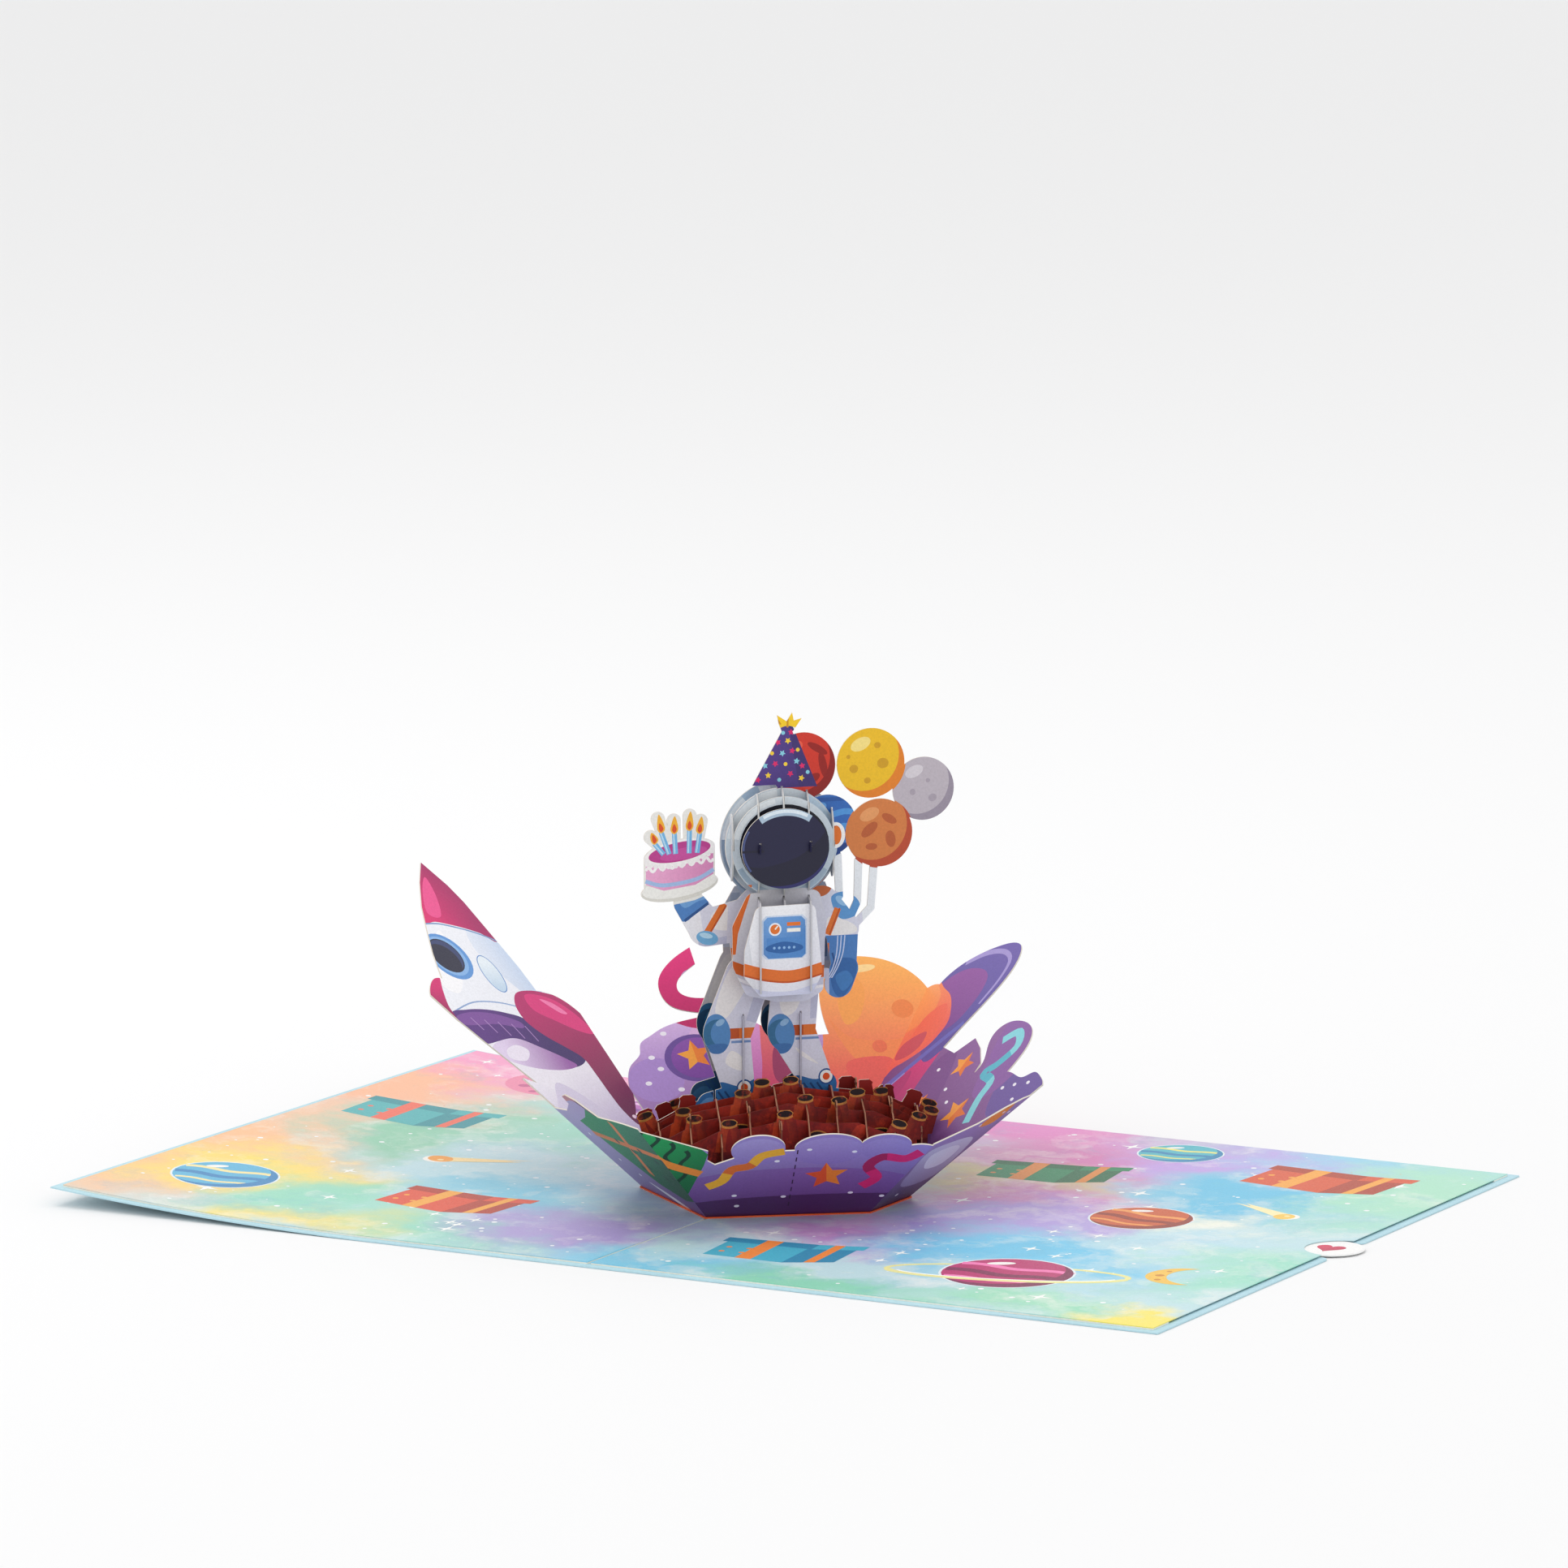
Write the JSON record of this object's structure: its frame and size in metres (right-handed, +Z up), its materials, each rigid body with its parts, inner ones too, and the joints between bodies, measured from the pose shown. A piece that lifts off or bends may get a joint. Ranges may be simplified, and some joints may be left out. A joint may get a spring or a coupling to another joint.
{
  "type": "pop up card",
  "caption": "Open pop-up birthday card with a slotted card spaceman on a rocky mound inside a folded paper bowl, and a slide-out message slip",
  "frame": {"origin": "middle of the centre fold, on the underside of the cover", "axes": "+X along the open card's 300 mm width towards the leaf with the slip, +Y along the fold away from the viewer, +Z up"},
  "size_m": [0.304, 0.2, 0.1178],
  "materials": {
    "cover_board": "smooth matte board",
    "liner_paper": "printed, smooth satin",
    "tape": "matte",
    "slip_paper": "printed, smooth satin",
    "floor_card": "printed, smooth satin",
    "bowl_card": "printed, smooth satin",
    "figure_card": "printed, smooth satin",
    "visor_card": "printed, smooth satin",
    "mound_card": "printed, smooth satin"
  },
  "bodies": {
    "card": {"cover": "cover_board", "liner_left": "liner_paper", "liner_right": "liner_paper", "tape_left": "tape", "tape_right": "tape", "bowl_floor": "floor_card", "bowl_front": "bowl_card", "bowl_back": "bowl_card", "petal_left": "bowl_card", "petal_right": "bowl_card", "figure_back": "figure_card", "figure_full": "figure_card", "figure_chest": "figure_card", "chest_plate": "figure_card", "visor": "visor_card", "mound_slice_1": "mound_card", "mound_slice_2": "mound_card", "mound_slice_3": "mound_card", "mound_slice_4": "mound_card", "mound_slice_5": "mound_card", "head_rib_1": "figure_card", "head_rib_2": "figure_card", "head_rib_3": "figure_card", "head_rib_4": "figure_card", "head_rib_5": "figure_card", "body_rib_1": "figure_card", "body_rib_2": "figure_card", "body_rib_3": "figure_card", "cross_slice_1": "mound_card", "cross_slice_2": "mound_card", "cross_slice_3": "mound_card", "cross_slice_4": "mound_card", "cross_slice_5": "mound_card", "cross_slice_6": "mound_card", "cross_slice_7": "mound_card", "cross_slice_8": "mound_card", "cross_slice_9": "mound_card", "cross_slice_10": "mound_card"},
    "slip": {"message_slip": "slip_paper"}
  },
  "joints": [
    {"name": "note_slide", "type": "slide", "parent": "card", "child": "slip", "axis": [1, 0, 0], "range_m": [0, 0.1]}
  ]
}
